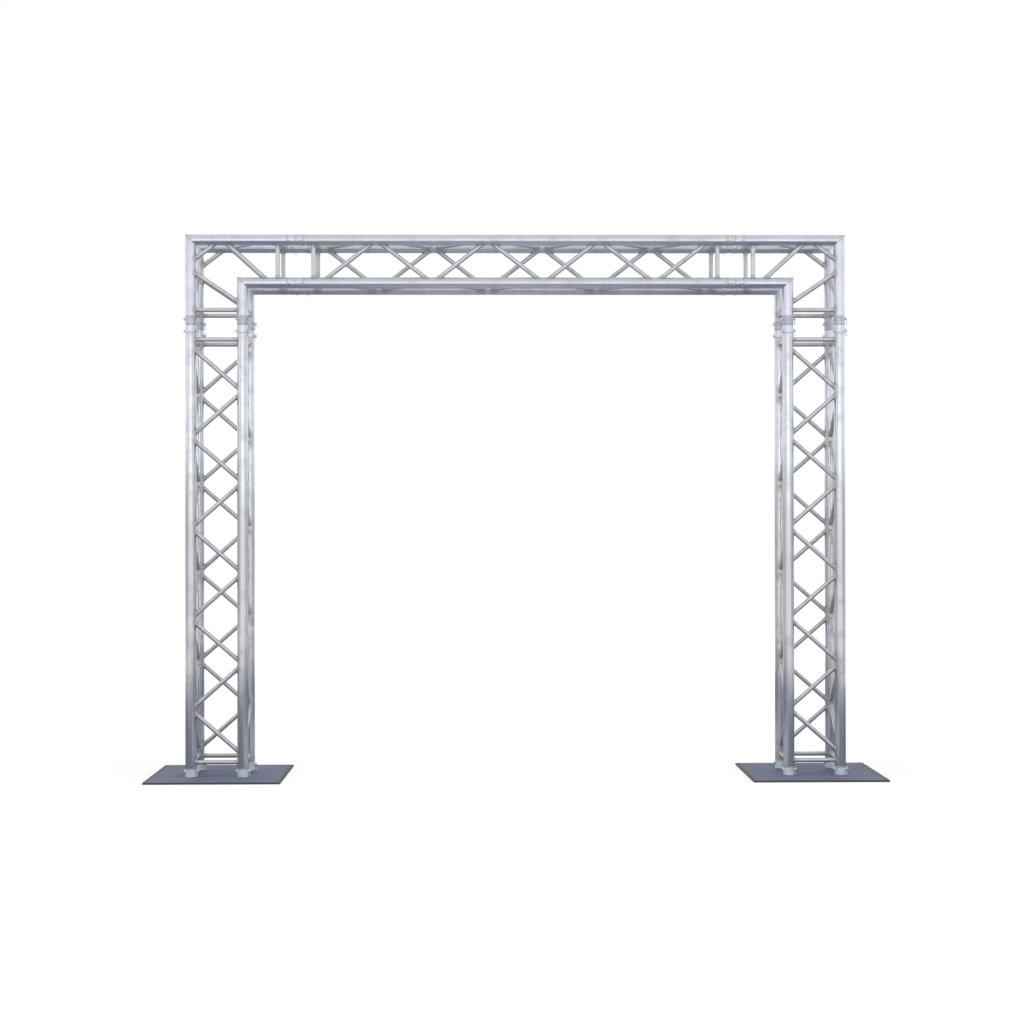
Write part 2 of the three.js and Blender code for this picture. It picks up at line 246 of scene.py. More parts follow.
def powderCoatedSteel():
    # Base plate, steel under a baked blue-grey powder coat: the faint dimples of such a coat, scratches
    # from loading, and edges rubbed down to brown primer
    look = {
        "coatAndShade": ("#6e6e8a", "#616f86"),
        "scratch": "#8b91a3",
        "primer": "#5a5247",
        "roughness": (0.52, 0.7),
        "specular": 0.28,
        "dimpleSize": 2.2 * mm,
        "dimpleDepth": 0.05 * mm,
        "patch": {"size": 130 * mm, "detail": 4, "low": 0.4, "high": 0.6, "most": 1},
        "scratchSize": (1.4286 * mm, 71.43 * mm, 1000 * mm),
        "scratchTurn": 0.6,  # radians
        "chipSize": 6.25 * mm,
        "edgeRubbing": 0.55,
    }
    material, tree, surface = newMaterial("powderCoatedSteel", 0)
    surface.inputs["Specular IOR Level"].default_value = look["specular"]
    place = addNode(tree, "ShaderNodeTexCoord").outputs["Object"]
    edge = addNode(tree, "ShaderNodeAttribute", {"attribute_name": "edgeWear"}).outputs["Fac"]
    coat, patches = mottledColour(tree, place, look["patch"], look["coatAndShade"])
    dimples = addNode(
        tree, "ShaderNodeTexNoise", {"Scale": 1 / look["dimpleSize"], "Detail": 1}, {"Vector": place}
    )
    scratchSpace = addNode(
        tree, "ShaderNodeMapping",
        {"Rotation": (0, 0, look["scratchTurn"]), "Scale": [1 / size for size in look["scratchSize"]]},
        {"Vector": place},
    )
    scratches = addNode(tree, "ShaderNodeTexNoise", {"Scale": 1, "Detail": 2}, {"Vector": scratchSpace})
    scratched = addNode(
        tree, "ShaderNodeMapRange", {"From Min": 0.7, "From Max": 0.76, "To Max": 0.7}, {"Value": scratches}
    )
    chips = addNode(
        tree, "ShaderNodeTexNoise",
        {"Scale": 1 / look["chipSize"], "Detail": 5, "Roughness": 0.7}, {"Vector": place},
    )
    edgeChips = addNode(
        tree, "ShaderNodeMath", {"operation": "MULTIPLY_ADD", 1: look["edgeRubbing"]}, {0: edge, 2: chips}
    )
    rubbed = addNode(
        tree, "ShaderNodeMapRange", {"From Min": 0.78, "From Max": 0.9}, {"Value": edgeChips}
    )
    marked = addNode(
        tree, "ShaderNodeMix", {"data_type": "RGBA", mixSecond: toLinear(look["scratch"])},
        {0: scratched, mixFirst: coat.outputs[mixResult]},
    )
    colour = addNode(
        tree, "ShaderNodeMix", {"data_type": "RGBA", mixSecond: toLinear(look["primer"])},
        {0: rubbed, mixFirst: marked.outputs[mixResult]},
    )
    finishSurface(tree, surface, colour, patches, look["roughness"], dimples, look["dimpleDepth"])
    return material


# The columns' tubes are bright as extruded, the corners' are etched by washing, the beam's are brushed,
# and the braces are drawn tube
tubeFinishes = {
    "extrudedAluminium": {"metal": "#d1d3d7", "dull": "#c0c2c7", "roughness": (0.13, 0.22)},
    "etchedAluminium": {"metal": "#dcdee8", "dull": "#ced0da", "roughness": (0.24, 0.35)},
    "brushedAluminium": {"metal": "#d9dce2", "dull": "#cbced5", "roughness": (0.32, 0.43)},
    "drawnAluminium": {"metal": "#d9d9db", "dull": "#c6c6c9", "roughness": (0.42, 0.54)},
}
# What comes off the lathe is left bright, has gone dull in the weather, or is blasted with beads
turnedFinishes = {
    "turnedAluminium": {"metal": "#d9dbdf", "dull": "#c6c8cd", "roughness": (0.22, 0.36)},
    "oxidisedAluminium": {"metal": "#b9bbca", "dull": "#a8aab9", "roughness": (0.26, 0.38)},
    "blastedAluminium": {"metal": "#ecf3fc", "dull": "#dfe7f2", "roughness": (0.62, 0.74)},
}
aluminium = {name: extrudedAluminium(name, **look) for name, look in tubeFinishes.items()}
aluminium |= {name: turnedAluminium(name, **look) for name, look in turnedFinishes.items()}
weldMetal, platedSteel, platePaint = weldedAluminium(), zincPlatedSteel(), powderCoatedSteel()
print("materials made")


# Each tube, brace and coupler takes its own stretch of its metal's pattern, somewhere along these metres
patternSpan = 9


def newShape():
    # tubePlace is a point's place in the tube's own directions: two across it, then along it
    shape = bmesh.new()
    shape.verts.layers.float_vector.new("tubePlace")
    shape.verts.layers.float.new("weldFilm")
    shape.verts.layers.float.new("edgeWear")
    return shape


def addRing(shape, points, places=None):
    layer = shape.verts.layers.float_vector["tubePlace"]
    ring = [shape.verts.new(point) for point in points]
    for vert, place in zip(ring, places or points):
        vert[layer] = place
    return ring


def joinRings(shape, first, second, finish=0):
    for i in range(len(first)):
        j = (i + 1) % len(first)
        face = shape.faces.new((first[i], first[j], second[j], second[i]))
        face.material_index = finish


def joinChain(shape, rings):
    for one, two in zip(rings, rings[1:]):
        joinRings(shape, one, two)


def closeRing(shape, ring, centre):
    layer = shape.verts.layers.float_vector["tubePlace"]
    tip = shape.verts.new(centre)
    tip[layer] = ring[0][layer]
    for i in range(len(ring)):
        shape.faces.new((ring[i], ring[(i + 1) % len(ring)], tip))


def capChain(shape, rings, firstTip, lastTip):
    joinChain(shape, rings)
    closeRing(shape, rings[0], firstTip)
    closeRing(shape, rings[-1], lastTip)


def roundPoints(centre, across, beside, radius, steps):
    angles = [2 * math.pi * i / steps for i in range(steps)]
    return [centre + (across * math.cos(a) + beside * math.sin(a)) * radius for a in angles]


def tubePlaces(along, radius, steps):
    return roundPoints(Vector((0, 0, along)), Vector((1, 0, 0)), Vector((0, 1, 0)), radius, steps)


def turnShape(shape, origin, way, profile, steps):
    # a solid turned about a line from pairs of radius and height, with flat ends
    across = way.orthogonal().normalized()
    beside = way.cross(across)
    offset = random.uniform(0, patternSpan)
    rings = []
    for radius, height in profile:
        points = roundPoints(origin + way * height, across, beside, radius, steps)
        rings.append(addRing(shape, points, tubePlaces(height + offset, radius, steps)))
    capChain(shape, rings, origin + way * profile[0][1], origin + way * profile[-1][1])


def addPiece(shape, name, materials, replaced=(), sharpAngle=35):
    bmesh.ops.recalc_face_normals(shape, faces=shape.faces)
    mesh = bpy.data.meshes.new(name)
    shape.to_mesh(mesh)
    shape.free()
    mesh.shade_smooth()
    mesh.set_sharp_from_angle(angle=math.radians(sharpAngle))
    for material in materials:
        mesh.materials.append(material)
    piece = bpy.data.objects.new(name, mesh)
    bpy.context.scene.collection.objects.link(piece)
    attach(piece, "root")
    if replaced:
        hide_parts(*replaced)


def fade(value, near, far):
    # 1 at near or less, 0 at far or more
    t = min(max((far - value) / (far - near), 0), 1)
    return t * t * (3 - 2 * t)


chordSizes = {
    "radius": 25 * mm,
    "wall": 3 * mm,
    "mouthRadius": 19.9 * mm,
    "throatRadius": 16.3 * mm,
    "receiverDepth": 52 * mm,
    "seam": 36.5 * mm,
    "endChamfer": 1.5 * mm,
    "seamFilm": (2 * mm, 9 * mm),  # full up to the first distance from a ring weld, gone at the second
    "seamFilmShare": 0.6,
    "landingFilm": (16 * mm, 34 * mm),  # the same, from the middle of a brace's end
    "landingSlack": 5 * mm,  # a brace's end this far off the surface still counts
    "ringSpacing": 12 * mm,
    "roundSteps": 48,
}
braceSizes = {
    "radius": 10 * mm,
    "sunk": 0.6 * mm,
    "tipInset": 15 * mm,  # from the chord's axis, inside the chord
    "filmReach": 20 * mm,
    "roundSteps": 32,
    "column": {"diagonals": 9, "nodeInset": 98 * mm, "barInset": 67 * mm},
    "beam": {"diagonals": 7, "nodeInset": 114 * mm, "barInset": 81 * mm},
    "corner": {
        "nodeInset": 90 * mm,
        "shortDrop": 101 * mm,
        "shortRun": 134 * mm,
        "longDrop": 137 * mm,
        "longRun": 146 * mm,
    },
}
chordRadius = chordSizes["radius"]
# The finish of each kind of section: its chords, then the receivers at their first and last ends
sectionFinishes = {
    "column": ("extrudedAluminium", "blastedAluminium", "turnedAluminium"),
    "corner": ("etchedAluminium", "oxidisedAluminium", "etchedAluminium"),
    "beam": ("brushedAluminium", "brushedAluminium", "brushedAluminium"),
}

# Chord axes, from the boxes of the nodes that they belong to
columnFoot, columnTop = [corner.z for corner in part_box("left_column_front_outer_chord")]
chords = {}  # name: {"axis": points, "braces": [(start, end, start chord's way, end chord's way)]}


def boltPlace(side, place):
    low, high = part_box(f"{side}_base_bolt_{place}")
    return (low.x + high.x) / 2, (low.y + high.y) / 2


def straightBraces(axes, way, sizes):
    # the braces that each chord of a straight section carries: end bars, and a zigzag to the next chord
    # that starts at the other end of the pitch on every second face
    length = (axes[0][1] - axes[0][0]).length
    nodeInset, barInset, diagonals = sizes["nodeInset"], sizes["barInset"], sizes["diagonals"]
    pitch = (length - 2 * nodeInset) / diagonals
    carried = []
    for corner, axis in enumerate(axes):
        here, there = axis[0], axes[(corner + 1) % len(axes)][0]
        pairs = [(barInset, barInset), (length - barInset, length - barInset)]
        for step in range(diagonals):
            start = nodeInset + step * pitch
            ends = (start, start + pitch)
            pairs.append(ends if (step + corner) % 2 == 1 else ends[::-1])
        carried.append([(here + way * near, there + way * far, way, way) for near, far in pairs])
    return carried


def cornerChords(side):
    outward = outwardOf[side]
    low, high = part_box(f"{side}_corner_front_outer_chord")
    foot, topZ = low.z, high.z - chordRadius
    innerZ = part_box(f"{side}_corner_front_inner_chord")[1].z - chordRadius
    endX = high.x if outward < 0 else low.x
    outerX, front = boltPlace(side, "front_outer")
    innerX, rear = boltPlace(side, "rear_inner")
    column, beam, corner = braceSizes["column"], braceSizes["beam"], braceSizes["corner"]
    barX, nodeX = endX + outward * beam["barInset"], endX + outward * beam["nodeInset"]
    longX, shortX = outerX - outward * corner["longRun"], outerX - outward * corner["shortRun"]
    barZ, nodeZ = foot + column["barInset"], foot + corner["nodeInset"]
    shortZ, longZ = topZ - corner["shortDrop"], topZ - corner["longDrop"]

    def brace(start, end, startWay, endWay):
        return Vector(start), Vector(end), startWay, endWay

    def faceBraces(y):
        return [
            brace((outerX, y, barZ), (innerX, y, barZ), upWay, upWay),
            brace((barX, y, topZ), (barX, y, innerZ), alongBeam, alongBeam),
            brace((outerX, y, longZ), (innerX, y, nodeZ), upWay, upWay),
            brace((outerX, y, shortZ), (shortX, y, topZ), upWay, alongBeam),
            brace((longX, y, topZ), (nodeX, y, innerZ), alongBeam, alongBeam),
        ]

    topBraces = [
        brace((barX, front, topZ), (barX, rear, topZ), alongBeam, alongBeam),
        brace((nodeX, front, topZ), (longX, rear, topZ), alongBeam, alongBeam),
    ]
    outerBraces = [
        brace((outerX, rear, barZ), (outerX, front, barZ), upWay, upWay),
        brace((outerX, rear, longZ), (outerX, front, nodeZ), upWay, upWay),
    ]
    carried = {
        "front_outer": faceBraces(front) + topBraces,
        "rear_outer": faceBraces(rear) + outerBraces,
        "front_inner": [brace((innerX, front, barZ), (innerX, rear, barZ), upWay, upWay)],
        "rear_inner": [brace((barX, rear, innerZ), (barX, front, innerZ), alongBeam, alongBeam)],
    }
    for place, braces in carried.items():
        y = front if place.startswith("front") else rear
        x, z = (outerX, topZ) if place.endswith("outer") else (innerX, innerZ)
        axis = [Vector((x, y, foot)), Vector((x, y, z)), Vector((endX, y, z))]
        chords[f"{side}_corner_{place}_chord"] = {"axis": axis, "braces": braces}


for side, places in columnPlaces.items():
    axes = [[Vector((*boltPlace(side, place), z)) for z in (columnFoot, columnTop)] for place in places]
    for place, axis, braces in zip(places, axes, straightBraces(axes, upWay, braceSizes["column"])):
        chords[f"{side}_column_{place}_chord"] = {"axis": axis, "braces": braces}
    cornerChords(side)

beamAxes = []
for place in beamPlaces:
    low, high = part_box(f"beam_{place}_chord")
    y = low.y + chordRadius if place.startswith("front") else high.y - chordRadius
    z = high.z - chordRadius if place.endswith("top") else low.z + chordRadius
    beamAxes.append([Vector((low.x, y, z)), Vector((high.x, y, z))])
beamBraces = straightBraces(beamAxes, alongBeam, braceSizes["beam"])
for place, axis, braces in zip(beamPlaces, beamAxes, beamBraces):
    chords[f"beam_{place}_chord"] = {"axis": axis, "braces": braces}
print("chords placed:", len(chords))

# Where braces land on the chords' surfaces, for the film that welding leaves there
landings = []
for chord in chords.values():
    for start, end, startWay, endWay in chord["braces"]:
        for point, other, way in ((start, end, startWay), (end, start, endWay)):
            run = (other - point).normalized()
            across = (run - way * run.dot(way)).length
            landings.append(point + run * (chordRadius / across))


def axisFrame(axis):
    # where the chord bends, its way and its normal in each leg, and the normal at the mitre
    ways = [(b - a).normalized() for a, b in zip(axis, axis[1:])]
    normals = [way.cross(depthWay) for way in ways]
    mitre = (normals[0] + normals[-1]) / (1 + normals[0].dot(normals[-1]))
    bend = (axis[1] - axis[0]).length if len(axis) > 2 else None
    return bend, ways, normals, mitre


def chordStations(length, bend):
    # rings along the outside and back through the bore: place, radius, and the finish that follows.
    # The receiver's shoulder meets the tube at the seam, and its spigot goes on inside the tube.
    radius, seam, depth = chordRadius, chordSizes["seam"], chordSizes["receiverDepth"]
    bore, chamfer = radius - chordSizes["wall"], chordSizes["endChamfer"]
    mouth, throat = chordSizes["mouthRadius"], chordSizes["throatRadius"]
    reach = chordSizes["seamFilm"][1]
    tube, first, last = 0, 1, 2
    bends = [bend] if bend else []
    stations = [(0, mouth, first), (0, radius - chamfer, first), (chamfer, radius, first)]
    stations += [(seam - reach, radius, first)]
    stops = [seam] + bends + [length - seam]
    for start, end in zip(stops, stops[1:]):
        count = max(1, round((end - start) / chordSizes["ringSpacing"]))
        stations += [(start + (end - start) * i / count, radius, tube) for i in range(count)]
    stations += [(length - seam, radius, last), (length - seam + reach, radius, last)]
    stations += [(length - chamfer, radius, last), (length, radius - chamfer, last)]
    stations += [(length, mouth, last), (length - depth, throat, last)]
    stations += [(length - depth - chamfer, bore, tube)] + [(place, bore, tube) for place in bends]
    return stations + [(depth + chamfer, bore, first), (depth, throat, first)]


def liesOn(spot, axis):
    # whether a spot lies on the surface of the chord with this axis
    for start, end in zip(axis, axis[1:]):
        way = (end - start).normalized()
        along = min(max((spot - start).dot(way), 0), (end - start).length)
        if (spot - start - way * along).length < chordRadius + chordSizes["landingSlack"]:
            return True
    return False


def chordPiece(name, axis):
    # a tube with its bore, and a turned receiver with a conical mouth at each end
    bend, ways, normals, mitre = axisFrame(axis)
    length = sum((b - a).length for a, b in zip(axis, axis[1:]))
    stations = chordStations(length, bend)
    ringWelds = [chordSizes["seam"], length - chordSizes["seam"]] + ([bend] if bend else [])
    spots = [spot for spot in landings if liesOn(spot, axis)]
    shape = newShape()
    filmLayer = shape.verts.layers.float["weldFilm"]
    offset = random.uniform(0, patternSpan)
    steps = chordSizes["roundSteps"]
    rings = []
    for along, radius, _ in stations:
        leg = 1 if bend and along > bend else 0
        centre = axis[leg] + ways[leg] * (along - bend if leg else along)
        across = mitre if along == bend else normals[leg]
        points = roundPoints(centre, across, depthWay, radius, steps)
        ring = addRing(shape, points, tubePlaces(along + offset, radius, steps))
        fromWeld = min(abs(along - weld) for weld in ringWelds)
        seamFilm = chordSizes["seamFilmShare"] * fade(fromWeld, *chordSizes["seamFilm"])
        nearest, farthest = chordSizes["landingFilm"]
        close = [spot for spot in spots if abs((spot - centre).dot(ways[leg])) < farthest]
        for vert in ring:
            films = [fade((vert.co - spot).length, nearest, farthest) for spot in close]
            vert[filmLayer] = max([seamFilm] + films)
        rings.append(ring)
    for i, ring in enumerate(rings):
        joinRings(shape, ring, rings[(i + 1) % len(rings)], stations[i][2])
    section = next(word for word in name.split("_") if word in sectionFinishes)
    finishes = [aluminium[finish] for finish in sectionFinishes[section]]
    addPiece(shape, f"{name}_tube", finishes, [name])


def saddleReach(run, chordWay, offset):
    # how far a line at this offset from a brace's axis runs before it leaves the chord
    flatRun = run - chordWay * run.dot(chordWay)
    flatOffset = offset - chordWay * offset.dot(chordWay)
    a, b = flatRun.dot(flatRun), flatRun.dot(flatOffset)
    c = flatOffset.dot(flatOffset) - chordRadius**2
    return (-b + math.sqrt(b * b - a * c)) / a


def copedEnd(start, run, chordWay, steps):
    # the points round a brace's end where its surface meets the chord's, with each point's
    # direction away from the brace's axis
    across = run.cross(chordWay).normalized()
    beside = run.cross(across)
    points, outs = [], []
    for i in range(steps):
        angle = 2 * math.pi * i / steps
        out = across * math.cos(angle) + beside * math.sin(angle)
        offset = out * braceSizes["radius"]
        points.append(start + offset + run * saddleReach(run, chordWay, offset))
        outs.append(out)
    return points, outs


def bracePiece(name, braces):
    shape = newShape()
    filmLayer = shape.verts.layers.float["weldFilm"]
    steps, radius, tip = braceSizes["roundSteps"], braceSizes["radius"], braceSizes["tipInset"]
    film = braceSizes["filmReach"]
    # distance from the saddle, and how much film lies there
    bands = [(-braceSizes["sunk"], 1), (film / 3, 0.8), (film, 0)]
    for start, end, startWay, endWay in braces:
        run = (end - start).normalized()
        first, outs = copedEnd(start, run, startWay, steps)
        offset = random.uniform(0, patternSpan)
        across, beside = outs[0], outs[steps // 4]
        # the far saddle is cut on the same lines along the brace
        last = [end + out * radius - run * saddleReach(-run, endWay, out * radius) for out in outs]
        loops = [([point + run * gone for point in first], amount) for gone, amount in bands]
        loops += [([point - run * gone for point in last], amount) for gone, amount in bands[::-1]]
        rings = []
        for points, amount in loops:
            fromStart = [point - start for point in points]
            places = [Vector((p.dot(across), p.dot(beside), p.dot(run) + offset)) for p in fromStart]
            ring = addRing(shape, points, places)
            for vert in ring:
                vert[filmLayer] = amount
            rings.append(ring)
        capChain(shape, rings, start + run * tip, end - run * tip)
    addPiece(shape, f"{name}_braces", [aluminium["drawnAluminium"]])


weldSizes = {
    "leg": 3.4 * mm,
    "legSway": 0.1,  # the share by which it grows and shrinks round a brace
    "hollow": 0.16,  # the share by which the fillet's face dips
    "faceSteps": 4,
    "toesSunk": (0.25 * mm, 0.4 * mm),  # into the brace, and into the chord
    "rootDepth": 1.2 * mm,
    "ripples": 24,
    "rippleHeight": 0.09,  # share of the leg
    "roundSteps": 96,
    "ringHalfWidth": 2.7 * mm,
    "ringHeight": 0.55 * mm,
    "ringSunk": 0.1 * mm,
    "ringFaceSteps": 5,
    "ringRipples": 54,
    "ringRippleHeight": 0.144,  # share of the ring's height
    "ringSteps": 216,
}


def joinLoops(shape, loops):
    # a closed bead from its cross-sections
    rings = [addRing(shape, loop) for loop in loops]
    for i, ring in enumerate(rings):
        joinRings(shape, ring, rings[(i + 1) % len(rings)])


def braceBead(shape, start, run, chordWay):
    points, outs = copedEnd(start, run, chordWay, weldSizes["roundSteps"])
    phase, lean = random.uniform(0, 6.28), random.uniform(0, 6.28)
    faceSteps, toesSunk = weldSizes["faceSteps"], weldSizes["toesSunk"]
    loops = []
    for i, (point, out) in enumerate(zip(points, outs)):
        turn = 2 * math.pi * i / len(points)
        fromAxis = point - start
        normal = (fromAxis - chordWay * fromAxis.dot(chordWay)).normalized()
        away = (out - normal * out.dot(normal)).normalized()
        ripple = 1 + weldSizes["rippleHeight"] * math.sin(weldSizes["ripples"] * turn + phase)
        leg = weldSizes["leg"] * ripple * (1 + weldSizes["legSway"] * math.sin(2 * turn + lean))
        loop = []
        for j in range(faceSteps + 1):
            angle = math.pi / 2 * j / faceSteps
            bulge = leg * (1 - weldSizes["hollow"] * math.sin(2 * angle))
            loop.append(point + run * (bulge * math.cos(angle)) + away * (bulge * math.sin(angle)))
        loop[0] -= out * toesSunk[0]
        loop[-1] -= normal * toesSunk[1]
        loop.append(point - (normal + out) * weldSizes["rootDepth"])
        loops.append(loop)
    joinLoops(shape, loops)


def ringBead(shape, centre, across, beside, radii, way):
    # a butt weld round a tube; radii are those along across and beside, which differ at a mitre
    steps, faceSteps = weldSizes["ringSteps"], weldSizes["ringFaceSteps"]
    phase = random.uniform(0, 6.28)
    width, sunk = weldSizes["ringHalfWidth"], weldSizes["ringSunk"]
    angles = [math.pi * j / faceSteps for j in range(faceSteps + 1)]
    loops = []
    for i in range(steps):
        turn = 2 * math.pi * i / steps
        point = centre + across * (radii[0] * math.cos(turn)) + beside * (radii[1] * math.sin(turn))
        out = (across * math.cos(turn) + beside * math.sin(turn)).normalized()
        ripple = 1 + weldSizes["ringRippleHeight"] * math.sin(weldSizes["ringRipples"] * turn + phase)
        height = weldSizes["ringHeight"] * ripple
        loop = [point + way * (width * math.cos(a)) + out * (height * math.sin(a) - sunk) for a in angles]
        loop.append(point - out * weldSizes["rootDepth"])
        loops.append(loop)
    joinLoops(shape, loops)


def weldPiece(name, axis, braces):
    shape = newShape()
    for start, end, startWay, endWay in braces:
        run = (end - start).normalized()
        braceBead(shape, start, run, startWay)
        braceBead(shape, end, -run, endWay)
    bend, ways, normals, mitre = axisFrame(axis)
    for end, way, normal in ((axis[0], ways[0], normals[0]), (axis[-1], -ways[-1], normals[-1])):
        ringBead(shape, end + way * chordSizes["seam"], normal, depthWay, (chordRadius, chordRadius), way)
    if bend:
        across = mitre.normalized()
        acrossSeam = across.cross(depthWay).normalized()
        ringBead(shape, axis[1], across, depthWay, (chordRadius * mitre.length, chordRadius), acrossSeam)
    addPiece(shape, f"{name}_welds", [weldMetal], sharpAngle=60)


for name, chord in chords.items():
    chordPiece(name, chord["axis"])
    bracePiece(name, chord["braces"])
    weldPiece(name, chord["axis"], chord["braces"])
print("chords, braces and welds built")

couplerSizes = {
    "midRadius": 19.6 * mm,
    "shoulderRadius": 16.5 * mm,
    "tipRadius": 15.2 * mm,
    "halfLength": 46 * mm,
    "chamfer": 1.2 * mm,
    "roundSteps": 48,
}
pinSizes = {
    "inset": 27 * mm,
    "headRadius": 6.6 * mm,
    "tailRadius": 5.2 * mm,
    "headReach": 7 * mm,
    "tailReach": 11 * mm,
    "chamfer": 1.1 * mm,
    "headRounding": ((0, 1.4), (0.4, 0.5), (1.4, 0)),  # inwards and down, in chamfers
    "roundSteps": 32,
}
clipSizes = {
    "wireRadius": 1.1 * mm,
    "fromChord": 6 * mm,
    "roundSteps": 10,
    "pathSteps": 5,
    "tilt": 14,  # degrees either way from hanging straight
}
# A spring clip's outline in millimetres: along the clip, then beside it. The straight leg goes
# through the pin, and the bowed leg springs over the pin's outside.
clipOutline = [
    (-11, 0), (-4, 0), (6, 0), (16, 0), (22, 0.4), (26, 3), (26.5, 7), (23, 9.6), (19, 8.2), (17.5, 4.6),
    (14, 2.6), (9, 3), (5, 5.6), (0, 7.4), (-4.6, 5.6), (-7.5, 3.2), (-11, 4.6),
]


def smoothPath(points, steps):
    # a rounded path through the points
    path = []
    last = len(points) - 1
    for i in range(last):
        a, b = points[max(i - 1, 0)], points[i]
        c, d = points[i + 1], points[min(i + 2, last)]
        for step in range(steps):
            t = step / steps
            square, cube = 2 * a - 5 * b + 4 * c - d, 3 * b - a - 3 * c + d
            path.append((2 * b + (c - a) * t + square * t**2 + cube * t**3) / 2)
    return path + [points[last]]


def clipPiece(name, centre, pinWay, hang):
    # the clip lies across the pin, and points the way that it hangs
    tilt = math.radians(random.uniform(-clipSizes["tilt"], clipSizes["tilt"]))
    along = Matrix.Rotation(tilt, 3, pinWay) @ hang
    beside = pinWay.cross(along)
    outline = [centre + (along * a + beside * b) * mm for a, b in clipOutline]
    path = smoothPath(outline, clipSizes["pathSteps"])
    shape = newShape()
    radius, steps = clipSizes["wireRadius"], clipSizes["roundSteps"]
    ways = [(after - before).normalized() for before, after in zip(path[:1] + path, path[1:] + path[-1:])]
    rings = [
        addRing(shape, roundPoints(point, pinWay, way.cross(pinWay), radius, steps))
        for point, way in zip(path, ways)
    ]
    capChain(shape, rings, path[0] - ways[0] * radius / 2, path[-1] + ways[-1] * radius / 2)
    addPiece(shape, name, [platedSteel], sharpAngle=60)


def pinPieces(name, centre, headWay, hang):
    # a tapered pin through both tubes, its thick end on the head's side and its clip on the other
    chamfer = pinSizes["chamfer"]
    head, tail = chordRadius + pinSizes["headReach"], chordRadius + pinSizes["tailReach"]
    headRadius, tailRadius = pinSizes["headRadius"], pinSizes["tailRadius"]
    profile = [(tailRadius - chamfer, -tail), (tailRadius, -tail + chamfer)]
    for inwards, down in pinSizes["headRounding"]:
        profile.append((headRadius - chamfer * inwards, head - chamfer * down))
    shape = newShape()
    turnShape(shape, centre, headWay, profile, pinSizes["roundSteps"])
    addPiece(shape, f"{name}_pin", [platedSteel])
    clipPiece(f"{name}_clip", centre - headWay * (chordRadius + clipSizes["fromChord"]), headWay, hang)


def couplerPiece(node, centre, way, sides):
    # sides holds 1 for the cone on the way's side, and -1 for the other
    half, chamfer = couplerSizes["halfLength"], couplerSizes["chamfer"]
    shoulder, tip = couplerSizes["shoulderRadius"], couplerSizes["tipRadius"]
    back = [(tip, -half), (shoulder, chamfer - half)] if -1 in sides else []
    cone = [(couplerSizes["midRadius"], 0), (shoulder, half - chamfer), (tip, half)]
    shape = newShape()
    turnShape(shape, centre, way, back + cone, couplerSizes["roundSteps"])
    addPiece(shape, f"{node}_cone", [aluminium["turnedAluminium"]], [node])


def jointPieces(node, centre, way, headWay, hang, sides=(-1, 1)):
    couplerPiece(node, centre, way, sides)
    for side in sides:
        pinName = f"{node}_{'lower' if side < 0 else 'upper'}"
        pinPieces(pinName, centre + way * (side * pinSizes["inset"]), headWay, hang)


for side, places in columnPlaces.items():
    for place in places:
        x, y = boltPlace(side, place)
        base = f"{side}_base_coupler_{place}"
        jointPieces(base, Vector((x, y, columnFoot)), upWay, -alongBeam, -upWay, (1,))
        jointPieces(f"{side}_column_coupler_{place}", Vector((x, y, columnTop)), upWay, -alongBeam, -upWay)
    end = 0 if side == "left" else 1
    for place, axis in zip(beamPlaces, beamAxes):
        jointPieces(f"{side}_beam_coupler_{place}", axis[end], alongBeam, -depthWay, -upWay)
print("couplers, pins and clips built")

boltSizes = {
    "headRadius": 11.5 * mm,
    "shankRadius": 6 * mm,
    "headHeight": 5.5 * mm,
    "headRounding": 0.3 * mm,
    "recess": 0.5 * mm,
    "grip": 22 * mm,
    "endChamfer": 1 * mm,
    "socketFlat": 4 * mm,
    "socketRim": 5 * mm,
    "socketChamfer": 0.4 * mm,
    "socketDepth": 4.2 * mm,
    "roundSteps": 48,
}


def boltPiece(node, x, y):
    # a countersunk bolt seen from below: a flat head with a hexagon socket
    steps = boltSizes["roundSteps"]
    shape = newShape()

    def ringAt(radius, z):
        return addRing(shape, roundPoints(Vector((x, y, z)), alongBeam, depthWay, radius, steps))

    def hexagonAt(z):
        points = []
        for i in range(steps):
            angle = 2 * math.pi * i / steps
            out = alongBeam * math.cos(angle) + depthWay * math.sin(angle)
            reach = boltSizes["socketFlat"] / math.cos(angle % (math.pi / 3) - math.pi / 6)
            points.append(Vector((x, y, z)) + out * reach)
        return addRing(shape, points)

    low = boltSizes["recess"]
    high, floor = low + boltSizes["grip"], low + boltSizes["socketDepth"]
    head, shank = boltSizes["headRadius"], boltSizes["shankRadius"]
    rounding, chamfer = boltSizes["headRounding"], boltSizes["endChamfer"]
    rings = [
        hexagonAt(floor),
        hexagonAt(low + boltSizes["socketChamfer"]),
        ringAt(boltSizes["socketRim"], low),
        ringAt(head - rounding, low),
        ringAt(head, low + rounding),
        ringAt(shank, low + boltSizes["headHeight"]),
        ringAt(shank, high - chamfer),
        ringAt(shank - chamfer, high),
    ]
    capChain(shape, rings, Vector((x, y, floor)), Vector((x, y, high)))
    addPiece(shape, f"{node}_screw", [platedSteel], [node], sharpAngle=25)


plateSizes = {
    "cornerRadius": 8 * mm,
    "innerRadius": 1 * mm,  # the least, for the rings further in
    "edge": 0.9 * mm,
    "wear": ((6 * mm, 0.85), (20 * mm, 0.45), (44 * mm, 0)),  # inwards from the edge, and how rubbed
    "holeGap": 0.3 * mm,
    "cornerSteps": 8,
    "holeSteps": 48,
}


